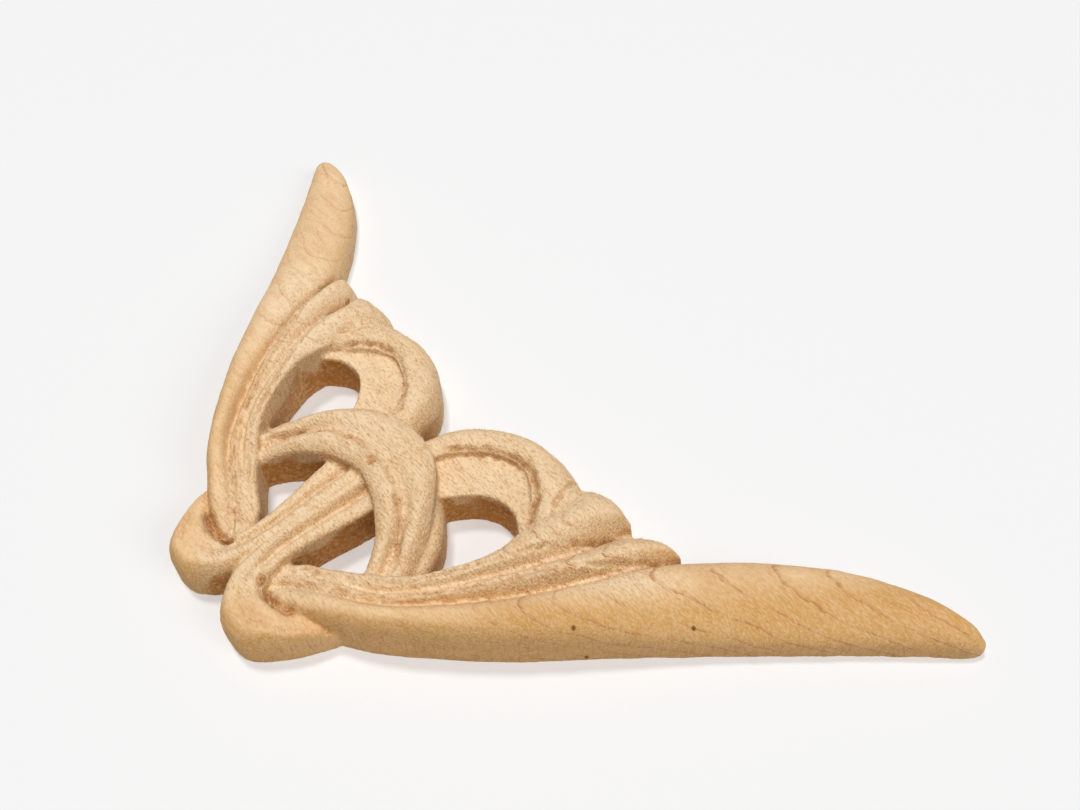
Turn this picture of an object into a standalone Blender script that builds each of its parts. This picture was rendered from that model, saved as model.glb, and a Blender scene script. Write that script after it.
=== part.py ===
"""Carved wooden corner applique: two feathered legs from an outer corner, an arch on each leg, and a
ribbon that loops from a knob on each leg to a raised arch over the middle. One solid on a flat back."""

import bmesh
import bpy
import numpy as np

# Driving dimensions, in metres.
LEG_LENGTH = 0.120
RELIEF_HEIGHT = 0.0110
# The centre of the outline, as a share of the leg from the outer corner.
CENTRE_SHARE = 0.4947
# How far a strap runs down into its neighbour at a groove, as a share of its own half width.
GROOVE_OVERLAP = 1.28
# How far the straps run on under the back before they are cut flat, as a share of the relief height.
BACK_DEPTH = 0.5

# Cross-section samples from crest to edge, as shares of the half width.
GROOVE_SAMPLES = (0.30, 0.58, 0.84, 1.10, GROOVE_OVERLAP)
ROUND_SAMPLES = (0.32, 0.60, 0.82, 0.95, 1.0)
CRISP_SAMPLES = (0.34, 0.66, 0.88, 1.0)

# Each strap is a row of stations along it. A station is its left edge (x, y, height), its right edge
# (x, y, height) and its crest height. Plan values are shares of the leg length from the outer corner,
# heights are shares of the relief height. The second leg is the mirror image across the diagonal.
BLADE = (
    (0.116, 0.066, 0.42, 0.122, 0.046, 0.38, 0.46),
    (0.155, 0.063, 0.52, 0.150, 0.034, 0.42, 0.60),
    (0.205, 0.052, 0.60, 0.203, 0.018, 0.44, 0.75),
    (0.289, 0.032, 0.66, 0.285, 0.001, 0.54, 0.88),
    (0.409, 0.041, 0.68, 0.412, -0.005, 0.54, 0.90),
    (0.503, 0.064, 0.64, 0.520, 0.000, 0.50, 0.87),
    (0.593, 0.096, 0.54, 0.615, 0.004, 0.38, 0.78),
    (0.655, 0.114, 0.28, 0.680, 0.006, 0.32, 0.69),
    (0.750, 0.117, 0.28, 0.760, 0.008, 0.28, 0.62),
    (0.850, 0.105, 0.30, 0.855, 0.010, 0.24, 0.57),
    (0.935, 0.075, 0.30, 0.930, 0.010, 0.21, 0.52),
    (0.982, 0.045, 0.25, 0.978, 0.009, 0.17, 0.39),
    (1.000, 0.028, 0.14, 0.999, 0.014, 0.12, 0.19),
)
FIRST_LEAF = (
    (0.118, 0.080, 0.42, 0.114, 0.064, 0.42, 0.47),
    (0.166, 0.082, 0.55, 0.157, 0.067, 0.52, 0.62),
    (0.225, 0.064, 0.63, 0.215, 0.049, 0.61, 0.73),
    (0.289, 0.049, 0.70, 0.285, 0.034, 0.66, 0.79),
    (0.396, 0.069, 0.76, 0.405, 0.042, 0.68, 0.88),
    (0.476, 0.095, 0.74, 0.503, 0.066, 0.64, 0.91),
    (0.5215, 0.115, 0.66, 0.543, 0.079, 0.60, 0.88),
    (0.566, 0.149, 0.36, 0.600, 0.099, 0.50, 0.76),
    (0.607, 0.151, 0.26, 0.632, 0.116, 0.34, 0.56),
    (0.636, 0.136, 0.20, 0.646, 0.124, 0.20, 0.30),
)
SECOND_LEAF = (
    (0.124, 0.094, 0.42, 0.118, 0.078, 0.42, 0.47),
    (0.172, 0.097, 0.53, 0.166, 0.080, 0.54, 0.61),
    (0.2155, 0.085, 0.60, 0.215, 0.066, 0.62, 0.68),
    (0.313, 0.072, 0.78, 0.315, 0.051, 0.72, 0.84),
    (0.400, 0.097, 0.86, 0.410, 0.073, 0.76, 0.93),
    (0.440, 0.130, 0.85, 0.460, 0.089, 0.75, 0.96),
    (0.482, 0.182, 0.66, 0.505, 0.108, 0.70, 0.95),
    (0.520, 0.221, 0.38, 0.538, 0.131, 0.60, 0.88),
    (0.555, 0.210, 0.34, 0.567, 0.149, 0.46, 0.72),
    (0.577, 0.180, 0.30, 0.583, 0.158, 0.32, 0.46),
)
ARCH_RIM = (
    (0.270, 0.277, 0.38, 0.285, 0.225, 0.70, 0.77),
    (0.303, 0.291, 0.38, 0.316, 0.247, 0.75, 0.80),
    (0.336, 0.307, 0.38, 0.342, 0.258, 0.77, 0.82),
    (0.372, 0.313, 0.38, 0.380, 0.262, 0.77, 0.82),
    (0.422, 0.306, 0.38, 0.415, 0.253, 0.78, 0.83),
    (0.466, 0.283, 0.38, 0.440, 0.234, 0.76, 0.84),
    (0.500, 0.248, 0.37, 0.450, 0.200, 0.74, 0.85),
    (0.518, 0.216, 0.36, 0.450, 0.166, 0.74, 0.86),
    (0.520, 0.178, 0.36, 0.452, 0.134, 0.74, 0.86),
)
ARCH_FLOOR = (
    (0.275, 0.262, 0.63, 0.290, 0.182, 0.64, 0.65),
    (0.335, 0.275, 0.63, 0.330, 0.191, 0.65, 0.65),
    (0.380, 0.278, 0.63, 0.374, 0.197, 0.65, 0.65),
    (0.430, 0.262, 0.63, 0.405, 0.191, 0.65, 0.65),
    (0.462, 0.225, 0.64, 0.427, 0.172, 0.66, 0.66),
    (0.470, 0.180, 0.65, 0.435, 0.150, 0.68, 0.68),
    (0.470, 0.140, 0.66, 0.437, 0.118, 0.69, 0.69),
)
MIDDLE_RIB = (
    (0.222, 0.222, 0.88, 0.250, 0.250, 0.93, 1.00),
    (0.240, 0.193, 0.87, 0.276, 0.210, 0.92, 0.99),
    (0.253, 0.155, 0.82, 0.291, 0.172, 0.86, 0.95),
    (0.256, 0.115, 0.70, 0.287, 0.127, 0.70, 0.83),
    (0.245, 0.072, 0.54, 0.270, 0.074, 0.54, 0.63),
)
MIDDLE_BAND = (
    (0.250, 0.250, 0.93, 0.289, 0.289, 0.86, 1.00),
    (0.276, 0.210, 0.92, 0.321, 0.240, 0.86, 1.00),
    (0.291, 0.172, 0.86, 0.327, 0.185, 0.82, 0.97),
    (0.287, 0.127, 0.70, 0.323, 0.135, 0.70, 0.85),
    (0.268, 0.070, 0.52, 0.303, 0.072, 0.52, 0.64),
)
MIDDLE_FLANK = (
    (0.296, 0.210, 0.50, 0.327, 0.218, 0.42, 0.66),
    (0.300, 0.168, 0.50, 0.337, 0.176, 0.42, 0.70),
    (0.296, 0.130, 0.46, 0.339, 0.138, 0.40, 0.64),
    (0.290, 0.095, 0.42, 0.331, 0.102, 0.38, 0.56),
    (0.284, 0.066, 0.40, 0.316, 0.070, 0.36, 0.50),
)
RIBBON = (
    (0.231, 0.239, 0.54, 0.262, 0.182, 0.66, 0.76),
    (0.176, 0.184, 0.55, 0.205, 0.142, 0.64, 0.76),
    (0.131, 0.139, 0.55, 0.160, 0.109, 0.63, 0.75),
    (0.097, 0.101, 0.48, 0.138, 0.083, 0.62, 0.73),
    (0.082, 0.078, 0.38, 0.128, 0.064, 0.61, 0.72),
    (0.078, 0.048, 0.33, 0.129, 0.052, 0.60, 0.72),
    (0.084, 0.017, 0.31, 0.138, 0.044, 0.58, 0.72),
    (0.112, -0.008, 0.30, 0.154, 0.036, 0.54, 0.70),
    (0.150, -0.009, 0.30, 0.175, 0.030, 0.48, 0.63),
    (0.190, 0.000, 0.30, 0.200, 0.022, 0.40, 0.51),
    (0.218, 0.010, 0.28, 0.222, 0.014, 0.30, 0.36),
)
# The ribbon's inner lip as a share of its width, and the valley beside the lip as a share of the relief
# height: under the middle arch, and round the knob.
LIP_SHARE = (0.52, 0.30)
VALLEY_DEPTH = (0.20, 0.09)
# How soon the ribbon takes its knob section, how soon its valley runs out, and how far the lip's crest
# lies below the ridge's as a share of the valley.
KNOB_RATE = 2.2
VALLEY_FADE = 1.5
LIP_DROP = 0.35
# How the slope of a groove or a crisp edge steepens towards the edge.
SLOPE_POWER = 1.8
# Where a crest lies between the left edge (0) and the right (1), at the first station and at the last.
BLADE_LEAN = (0.42, 0.42)
LEAF_LEAN = (0.5, 0.72)
RIM_LEAN = (0.62, 0.62)
CENTRE_LEAN = (0.5, 0.5)


def through(rows, steps):
    """A smooth run of stations through the given ones, with steps between each pair."""
    given = np.array(rows, float)
    ends = np.vstack([2 * given[0] - given[1], given, 2 * given[-1] - given[-2]])
    run = []
    for before, start, stop, after in zip(ends, ends[1:], ends[2:], ends[3:]):
        for t in np.arange(steps) / steps:
            slope = (stop - before) * t
            bend = (2 * before - 5 * start + 4 * stop - after) * t * t
            twist = (3 * start - before - 3 * stop + after) * t**3
            run.append(start + 0.5 * (slope + bend + twist))
    run.append(given[-1])
    return run


def ribbon_halves():
    """The ribbon's rows in two: the ridge along its outer edge, and the lip along its inner edge."""
    ridge, lip = [], []
    last = len(RIBBON) - 1
    for i, row in enumerate(np.array(RIBBON)):
        left, right, crest = row[0:3], row[3:6], row[6]
        round_knob = min(1.0, KNOB_RATE * i / last)
        share = 1 - (LIP_SHARE[0] + (LIP_SHARE[1] - LIP_SHARE[0]) * round_knob)
        depth = VALLEY_DEPTH[0] + (VALLEY_DEPTH[1] - VALLEY_DEPTH[0]) * round_knob
        valley = left + (right - left) * share
        valley[2] = crest - depth * min(1.0, VALLEY_FADE * (last - i) / last)
        ridge.append((*left, *valley, crest))
        lip.append((*valley, *right, crest - LIP_DROP * depth))
    return ridge, lip


def side(crest, edge, kind):
    """Points from the crest out to one edge: a round shoulder or a crisp edge over a wall, or a slope
    that runs on down into the next strap and leaves a groove."""
    shares = {"round": ROUND_SAMPLES, "crisp": CRISP_SAMPLES, "groove": GROOVE_SAMPLES}[kind]
    points = []
    for share in shares:
        fall = 1 - np.sqrt(1 - share * share) if kind == "round" else share**SLOPE_POWER
        point = crest + (edge - crest) * share
        point[2] = crest[2] + (edge[2] - crest[2]) * fall
        points.append(point)
    foot = points[-1].copy()
    foot[2] = -BACK_DEPTH
    return points + [foot]


def strap(name, rows, kinds, lean=CENTRE_LEAN, steps=2, both=False):
    """A loft along the stations. lean places the crest between the left edge (0) and the right (1), at
    the first station and at the last."""
    if both:
        rows = [(r[1], r[0], r[2], r[4], r[3], r[5], r[6]) for r in rows[:0:-1]] + list(rows)
    sections = []
    run = through(rows, steps)
    for i, row in enumerate(run):
        left, right = row[0:3], row[3:6]
        crest = left + (right - left) * (lean[0] + (lean[1] - lean[0]) * (i / (len(run) - 1)) ** 2)
        crest[2] = row[6]
        sections.append(side(crest, left, kinds[0])[::-1] + [crest] + side(crest, right, kinds[1]))
    return loft(name, sections)


def loft(name, sections):
    """A closed body through cross-sections of equal length, capped at both ends."""
    mesh = bpy.data.meshes.new(name)
    shape = bmesh.new()
    rings = []
    for section in sections:
        ring = []
        for x, y, height in section:
            place = ((x - CENTRE_SHARE) * LEG_LENGTH, (y - CENTRE_SHARE) * LEG_LENGTH)
            ring.append(shape.verts.new((*place, height * RELIEF_HEIGHT)))
        rings.append(ring)
    count = len(rings[0])
    for near, far in zip(rings, rings[1:]):
        for i in range(count):
            j = (i + 1) % count
            shape.faces.new((near[i], near[j], far[j], far[i]))
    shape.faces.new(rings[0][::-1])
    shape.faces.new(rings[-1])
    bmesh.ops.triangulate(shape, faces=shape.faces[:])
    bmesh.ops.recalc_face_normals(shape, faces=shape.faces[:])
    shape.to_mesh(mesh)
    shape.free()
    return bpy.data.objects.new(name, mesh)


def mirrored(source):
    """The same strap on the other leg, across the diagonal."""
    mesh = source.data.copy()
    for vertex in mesh.vertices:
        vertex.co.x, vertex.co.y = vertex.co.y, vertex.co.x
    mesh.flip_normals()
    return bpy.data.objects.new(source.name + "_mirrored", mesh)


def beech():
    material = bpy.data.materials.new("beech")
    material.use_nodes = True
    shader = material.node_tree.nodes["Principled BSDF"]
    shader.inputs["Base Color"].default_value = (0.66, 0.44, 0.24, 1)
    shader.inputs["Roughness"].default_value = 0.65
    shader.inputs["Metallic"].default_value = 0
    return material


def main():
    for old in list(bpy.data.objects):
        bpy.data.objects.remove(old)
    carving = bpy.data.collections.new("corner_applique_parts")
    helpers = bpy.data.collections.new("straps")
    helpers.hide_render = True
    bpy.context.scene.collection.children.link(carving)
    bpy.context.scene.collection.children.link(helpers)

    applique = strap("corner_applique", BLADE, ("round", "round"), lean=BLADE_LEAN)
    applique.data.materials.append(beech())
    carving.objects.link(applique)

    ridge, lip = ribbon_halves()
    leg = [
        strap("first_leaf", FIRST_LEAF, ("groove", "groove"), lean=LEAF_LEAN),
        strap("second_leaf", SECOND_LEAF, ("crisp", "groove"), lean=LEAF_LEAN),
        strap("arch_rim", ARCH_RIM, ("round", "crisp"), lean=RIM_LEAN),
        strap("arch_floor", ARCH_FLOOR, ("crisp", "crisp")),
        strap("ribbon_ridge", ridge, ("round", "groove")),
        strap("ribbon_lip", lip, ("groove", "crisp")),
        strap("middle_flank", MIDDLE_FLANK, ("round", "round")),
    ]
    straps = leg + [mirrored(piece) for piece in leg] + [mirrored(applique)]
    straps.append(strap("middle_rib", MIDDLE_RIB, ("crisp", "groove"), steps=3, both=True))
    straps.append(strap("middle_band", MIDDLE_BAND, ("groove", "crisp"), steps=3, both=True))
    for piece in straps:
        helpers.objects.link(piece)
        piece.hide_render = True
        piece.display_type = "WIRE"

    join = applique.modifiers.new("join_straps", "BOOLEAN")
    join.operation = "UNION"
    join.solver = "EXACT"
    join.operand_type = "COLLECTION"
    join.collection = helpers

    bpy.ops.mesh.primitive_cube_add(size=1, location=(0, 0, RELIEF_HEIGHT))
    block = bpy.context.object
    block.name = "above_back"
    for vertex in block.data.vertices:
        vertex.co.x *= 2 * LEG_LENGTH
        vertex.co.y *= 2 * LEG_LENGTH
        vertex.co.z *= 2 * RELIEF_HEIGHT
    for holder in list(block.users_collection):
        holder.objects.unlink(block)
    cutters = bpy.data.collections.new("cutters")
    cutters.hide_render = True
    bpy.context.scene.collection.children.link(cutters)
    cutters.objects.link(block)
    block.hide_render = True
    block.display_type = "WIRE"
    flat = applique.modifiers.new("flat_back", "BOOLEAN")
    flat.operation = "INTERSECT"
    flat.solver = "EXACT"
    flat.object = block


main()
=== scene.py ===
"""Looks of the corner applique: a fine carved beech surface over the solid, the fibres that the carving
tool tore up, and a pale studio stage seen from the photograph's viewing angle."""

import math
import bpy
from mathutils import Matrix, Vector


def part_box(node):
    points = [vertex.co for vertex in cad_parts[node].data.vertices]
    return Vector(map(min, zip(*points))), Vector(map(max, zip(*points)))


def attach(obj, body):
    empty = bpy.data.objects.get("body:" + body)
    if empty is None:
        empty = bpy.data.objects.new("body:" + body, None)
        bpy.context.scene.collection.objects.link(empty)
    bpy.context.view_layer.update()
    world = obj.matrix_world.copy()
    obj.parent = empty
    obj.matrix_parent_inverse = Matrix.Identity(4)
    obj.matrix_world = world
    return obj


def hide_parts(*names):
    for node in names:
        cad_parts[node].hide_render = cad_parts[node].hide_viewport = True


bl_info = {
    "name": "Corner Applique",
    "version": (1, 0, 0),
    "blender": (4, 5, 0),
    "location": "3D View > Sidebar > Applique",
    "description": "Carves and finishes a beech corner applique and sets its studio stage",
    "category": "Object",
}

import bmesh
import bpy
import numpy as np
from mathutils import Matrix, Vector, noise
from mathutils.bvhtree import BVHTree

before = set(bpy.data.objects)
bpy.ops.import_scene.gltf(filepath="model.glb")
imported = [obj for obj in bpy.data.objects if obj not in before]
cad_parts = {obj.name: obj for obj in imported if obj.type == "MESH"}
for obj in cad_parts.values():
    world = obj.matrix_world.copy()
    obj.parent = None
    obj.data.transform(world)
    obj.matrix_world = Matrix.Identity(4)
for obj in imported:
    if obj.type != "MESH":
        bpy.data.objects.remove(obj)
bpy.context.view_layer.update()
NODE = "corner_applique"
LOW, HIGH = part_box(NODE)

# Proportions that the carving shares with the solid: plan values are shares of the leg length from the
# outer corner, heights are shares of the relief height.
SPAN_SHARE = 1.0106
TOP_SHARE = 1.0022
CENTRE_SHARE = 0.4947
LEG_LENGTH = (HIGH[0] - LOW[0]) / SPAN_SHARE
RELIEF_HEIGHT = HIGH[2] / TOP_SHARE
# How far a strap runs down into its neighbour at a groove, as a share of its own half width.
GROOVE_OVERLAP = 1.28

# Each strap is a row of stations along it. A station is its left edge (x, y, height), its right edge
# (x, y, height) and its crest height. Plan values are shares of the leg length from the outer corner,
# heights are shares of the relief height. The second leg is the mirror image across the diagonal.
BLADE = (
    (0.116, 0.066, 0.42, 0.122, 0.046, 0.38, 0.46),
    (0.155, 0.063, 0.52, 0.150, 0.034, 0.42, 0.60),
    (0.205, 0.052, 0.60, 0.203, 0.018, 0.44, 0.75),
    (0.289, 0.032, 0.66, 0.285, 0.001, 0.54, 0.88),
    (0.409, 0.041, 0.68, 0.412, -0.005, 0.54, 0.90),
    (0.503, 0.064, 0.64, 0.520, 0.000, 0.50, 0.87),
    (0.593, 0.096, 0.54, 0.615, 0.004, 0.38, 0.78),
    (0.655, 0.114, 0.28, 0.680, 0.006, 0.32, 0.69),
    (0.750, 0.117, 0.28, 0.760, 0.008, 0.28, 0.62),
    (0.850, 0.105, 0.30, 0.855, 0.010, 0.24, 0.57),
    (0.935, 0.075, 0.30, 0.930, 0.010, 0.21, 0.52),
    (0.982, 0.045, 0.25, 0.978, 0.009, 0.17, 0.39),
    (1.000, 0.028, 0.14, 0.999, 0.014, 0.12, 0.19),
)
FIRST_LEAF = (
    (0.118, 0.080, 0.42, 0.114, 0.064, 0.42, 0.47),
    (0.166, 0.082, 0.55, 0.157, 0.067, 0.52, 0.62),
    (0.225, 0.064, 0.63, 0.215, 0.049, 0.61, 0.73),
    (0.289, 0.049, 0.70, 0.285, 0.034, 0.66, 0.79),
    (0.396, 0.069, 0.76, 0.405, 0.042, 0.68, 0.88),
    (0.476, 0.095, 0.74, 0.503, 0.066, 0.64, 0.91),
    (0.5215, 0.115, 0.66, 0.543, 0.079, 0.60, 0.88),
    (0.566, 0.149, 0.36, 0.600, 0.099, 0.50, 0.76),
    (0.607, 0.151, 0.26, 0.632, 0.116, 0.34, 0.56),
    (0.636, 0.136, 0.20, 0.646, 0.124, 0.20, 0.30),
)
SECOND_LEAF = (
    (0.124, 0.094, 0.42, 0.118, 0.078, 0.42, 0.47),
    (0.172, 0.097, 0.53, 0.166, 0.080, 0.54, 0.61),
    (0.2155, 0.085, 0.60, 0.215, 0.066, 0.62, 0.68),
    (0.313, 0.072, 0.78, 0.315, 0.051, 0.72, 0.84),
    (0.400, 0.097, 0.86, 0.410, 0.073, 0.76, 0.93),
    (0.440, 0.130, 0.85, 0.460, 0.089, 0.75, 0.96),
    (0.482, 0.182, 0.66, 0.505, 0.108, 0.70, 0.95),
    (0.520, 0.221, 0.38, 0.538, 0.131, 0.60, 0.88),
    (0.555, 0.210, 0.34, 0.567, 0.149, 0.46, 0.72),
    (0.577, 0.180, 0.30, 0.583, 0.158, 0.32, 0.46),
)
ARCH_RIM = (
    (0.270, 0.277, 0.38, 0.285, 0.225, 0.70, 0.77),
    (0.303, 0.291, 0.38, 0.316, 0.247, 0.75, 0.80),
    (0.336, 0.307, 0.38, 0.342, 0.258, 0.77, 0.82),
    (0.372, 0.313, 0.38, 0.380, 0.262, 0.77, 0.82),
    (0.422, 0.306, 0.38, 0.415, 0.253, 0.78, 0.83),
    (0.466, 0.283, 0.38, 0.440, 0.234, 0.76, 0.84),
    (0.500, 0.248, 0.37, 0.450, 0.200, 0.74, 0.85),
    (0.518, 0.216, 0.36, 0.450, 0.166, 0.74, 0.86),
    (0.520, 0.178, 0.36, 0.452, 0.134, 0.74, 0.86),
)
ARCH_FLOOR = (
    (0.275, 0.262, 0.63, 0.290, 0.182, 0.64, 0.65),
    (0.335, 0.275, 0.63, 0.330, 0.191, 0.65, 0.65),
    (0.380, 0.278, 0.63, 0.374, 0.197, 0.65, 0.65),
    (0.430, 0.262, 0.63, 0.405, 0.191, 0.65, 0.65),
    (0.462, 0.225, 0.64, 0.427, 0.172, 0.66, 0.66),
    (0.470, 0.180, 0.65, 0.435, 0.150, 0.68, 0.68),
    (0.470, 0.140, 0.66, 0.437, 0.118, 0.69, 0.69),
)
MIDDLE_RIB = (
    (0.222, 0.222, 0.88, 0.250, 0.250, 0.93, 1.00),
    (0.240, 0.193, 0.87, 0.276, 0.210, 0.92, 0.99),
    (0.253, 0.155, 0.82, 0.291, 0.172, 0.86, 0.95),
    (0.256, 0.115, 0.70, 0.287, 0.127, 0.70, 0.83),
    (0.245, 0.072, 0.54, 0.270, 0.074, 0.54, 0.63),
)
MIDDLE_BAND = (
    (0.250, 0.250, 0.93, 0.289, 0.289, 0.86, 1.00),
    (0.276, 0.210, 0.92, 0.321, 0.240, 0.86, 1.00),
    (0.291, 0.172, 0.86, 0.327, 0.185, 0.82, 0.97),
    (0.287, 0.127, 0.70, 0.323, 0.135, 0.70, 0.85),
    (0.268, 0.070, 0.52, 0.303, 0.072, 0.52, 0.64),
)
MIDDLE_FLANK = (
    (0.296, 0.210, 0.50, 0.327, 0.218, 0.42, 0.66),
    (0.300, 0.168, 0.50, 0.337, 0.176, 0.42, 0.70),
    (0.296, 0.130, 0.46, 0.339, 0.138, 0.40, 0.64),
    (0.290, 0.095, 0.42, 0.331, 0.102, 0.38, 0.56),
    (0.284, 0.066, 0.40, 0.316, 0.070, 0.36, 0.50),
)
RIBBON = (
    (0.231, 0.239, 0.54, 0.262, 0.182, 0.66, 0.76),
    (0.176, 0.184, 0.55, 0.205, 0.142, 0.64, 0.76),
    (0.131, 0.139, 0.55, 0.160, 0.109, 0.63, 0.75),
    (0.097, 0.101, 0.48, 0.138, 0.083, 0.62, 0.73),
    (0.082, 0.078, 0.38, 0.128, 0.064, 0.61, 0.72),
    (0.078, 0.048, 0.33, 0.129, 0.052, 0.60, 0.72),
    (0.084, 0.017, 0.31, 0.138, 0.044, 0.58, 0.72),
    (0.112, -0.008, 0.30, 0.154, 0.036, 0.54, 0.70),
    (0.150, -0.009, 0.30, 0.175, 0.030, 0.48, 0.63),
    (0.190, 0.000, 0.30, 0.200, 0.022, 0.40, 0.51),
    (0.218, 0.010, 0.28, 0.222, 0.014, 0.30, 0.36),
)
# The ribbon's inner lip as a share of its width, and the valley beside the lip as a share of the relief
# height: under the middle arch, and round the knob.
LIP_SHARE = (0.52, 0.30)
VALLEY_DEPTH = (0.20, 0.09)
# How soon the ribbon takes its knob section, how soon its valley runs out, and how far the lip's crest
# lies below the ridge's as a share of the valley.
KNOB_RATE = 2.2
VALLEY_FADE = 1.5
LIP_DROP = 0.35
# How the slope of a groove or a crisp edge steepens towards the edge.
SLOPE_POWER = 1.8
# Points of a section from the crest to an edge, and how far out the first of them lies.
SIDE_POINTS = 10
FIRST_POINT = 0.1
# Where a crest lies between the left edge (0) and the right (1), at the first station and at the last.
BLADE_LEAN = (0.42, 0.42)
LEAF_LEAN = (0.5, 0.72)
RIM_LEAN = (0.62, 0.62)
CENTRE_LEAN = (0.5, 0.5)
# Creases that the carving tool left: depth and half width as shares of the relief height, how dark
# the painted shade in them is, then plan points as shares of the leg length. They run on both legs.
CREASES = (
    (0.14, 0.065, 1.0, ((0.124, 0.070), (0.129, 0.060), (0.137, 0.048), (0.148, 0.039), (0.166, 0.031))),
    (0.06, 0.035, 0.3, ((0.166, 0.031), (0.185, 0.026), (0.198, 0.020), (0.215, 0.014))),
    (0.025, 0.030, 0.2, ((0.110, 0.022), (0.123, 0.012), (0.143, 0.009), (0.167, 0.006), (0.189, 0.009))),
    (0.045, 0.028, 0.4, ((0.154, 0.078), (0.187, 0.064), (0.228, 0.053), (0.290, 0.041), (0.400, 0.056))),
    (0.045, 0.028, 0.4, ((0.400, 0.056), (0.480, 0.080), (0.540, 0.088), (0.600, 0.103))),
    (0.08, 0.030, 0.9, ((0.596, 0.098), (0.620, 0.105), (0.641, 0.112))),
    (0.045, 0.028, 0.4, ((0.172, 0.088), (0.225, 0.072), (0.300, 0.060), (0.400, 0.084), (0.470, 0.108))),
    (0.09, 0.032, 1.0, ((0.505, 0.117), (0.530, 0.125), (0.556, 0.135), (0.585, 0.146))),
    (0.06, 0.030, 0.3, ((0.522, 0.232), (0.505, 0.214), (0.490, 0.190), (0.476, 0.155))),
    (0.07, 0.040, 0.75, ((0.332, 0.261), (0.355, 0.264), (0.395, 0.262), (0.428, 0.249))),
    (0.07, 0.040, 0.75, ((0.428, 0.249), (0.448, 0.232), (0.457, 0.208), (0.458, 0.180), (0.450, 0.150))),
    (0.07, 0.035, 0.6, ((0.226, 0.240), (0.262, 0.222), (0.281, 0.180), (0.289, 0.135), (0.286, 0.085))),
    # The two rows with no depth only darken the lip beside a groove: painted shade.
    (0.0, 0.034, 0.45, ((0.154, 0.073), (0.187, 0.059), (0.228, 0.048), (0.290, 0.036), (0.400, 0.050))),
    (0.0, 0.034, 0.45, ((0.400, 0.050), (0.480, 0.074), (0.540, 0.082), (0.600, 0.097))),
    (0.035, 0.030, 0.1, ((0.836, 0.069), (0.872, 0.057), (0.921, 0.044), (0.962, 0.026))),
)
# Small dark spots on the first leg's blade: plan place and height as shares of the leg length.
SPOTS = ((0.505, 0.008, 0.068), (0.646, 0.017, 0.053), (0.522, 0.0, 0.008))
# A spot is full within the first radius and gone at the second, in metres. Heights count by half.
SPOT_RADII = (0.00018, 0.00042)
SPOT_HEIGHT_SHARE = 0.5
SPOT_STRENGTH = 0.85

# Zones of the surface, each as the value where it starts or ends and the length over which it fades.
# REACH is the plan distance along a leg and WIDTH the one across it, as shares of the leg length from the
# outer corner. SLOPE is the upward part of the surface's normal. CLOSED is how sheltered a point is.
BLADE_REACH, BLADE_WIDTH = (0.34, 0.12), (0.17, 0.05)
CARVED_REACH, CARVED_WIDTH = (0.66, 0.08), (0.025, 0.04)
FRONT_REACH, TIP_REACH = (0.25, 0.2), (0.975, 0.02)
# The front of the first leg's blade lies below a line: its height in the plan, its rise and its fade.
FRONT_LINE, FRONT_RISE, FRONT_FADE = 0.055, 0.12, 0.035
INNER_WIDTH = (0.02, 0.02)
CREASED_SLOPE, FUZZY_SLOPE = (0.15, 0.3), (0.1, 0.4)
UPRIGHT_SLOPE, TANNED_SLOPE = (0.75, 0.7), (0.985, 0.35)
INNER_CLOSED, PIT_CLOSED = (0.265, 0.05), (0.50, 0.4)
# How strongly the ring lines show on the second leg's blade.
SECOND_LEG_RINGS = 0.3

# Rays that feel for shelter, six times round: their flat part, their upward part and a turn in radians.
SHELTER_RAYS = ((0.9, 0.45, 0.0), (0.5, 0.87, 0.5))
SHELTER_TURNS = 6
# A ray starts this far off the surface, in metres. One that points into the wood counts by half.
RAY_START = 0.00035
RAY_LIFT = 0.05
INTO_WOOD_SHARE = 0.5
SHELTER_SMOOTHING = 3

# Fineness of the noises, in bumps to a metre: the creases' drift and breaks, the fuzz along and across
# the grain, its coarser part, the wall marks round and up, and a low wave with its height in metres.
DRIFT_FINENESS, BREAK_FINENESS = 900, 550
FUZZ_FINENESS, COARSE_FINENESS = (900, 2600), (500, 1300)
COARSE_SHARE = 0.7
MARK_FINENESS = (1900, 120)
WAVE_FINENESS, WAVE_HEIGHT = 260, 0.00012

# The stage: the floor's size in leg lengths, and each lamp's place in leg lengths with its width.
FLOOR_SIZE = 600
OVERHEAD_PLACE, OVERHEAD_WIDTH = (0.6, -1.6, 12.0), math.radians(19)
REAR_PLACE, REAR_WIDTH = (-2.6, 3.5, 11.5), math.radians(9.5)
SIDE_PLACE, SIDE_WIDTH = (8.5, -5.0, 6.5), math.radians(31)

# What settings of one kind have in common.
LENGTH = {"subtype": "DISTANCE", "unit": "LENGTH"}
ANGLE = {"subtype": "ANGLE", "unit": "ROTATION"}
COLOUR = {"subtype": "COLOR", "size": 3, "min": 0, "max": 1}


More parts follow.
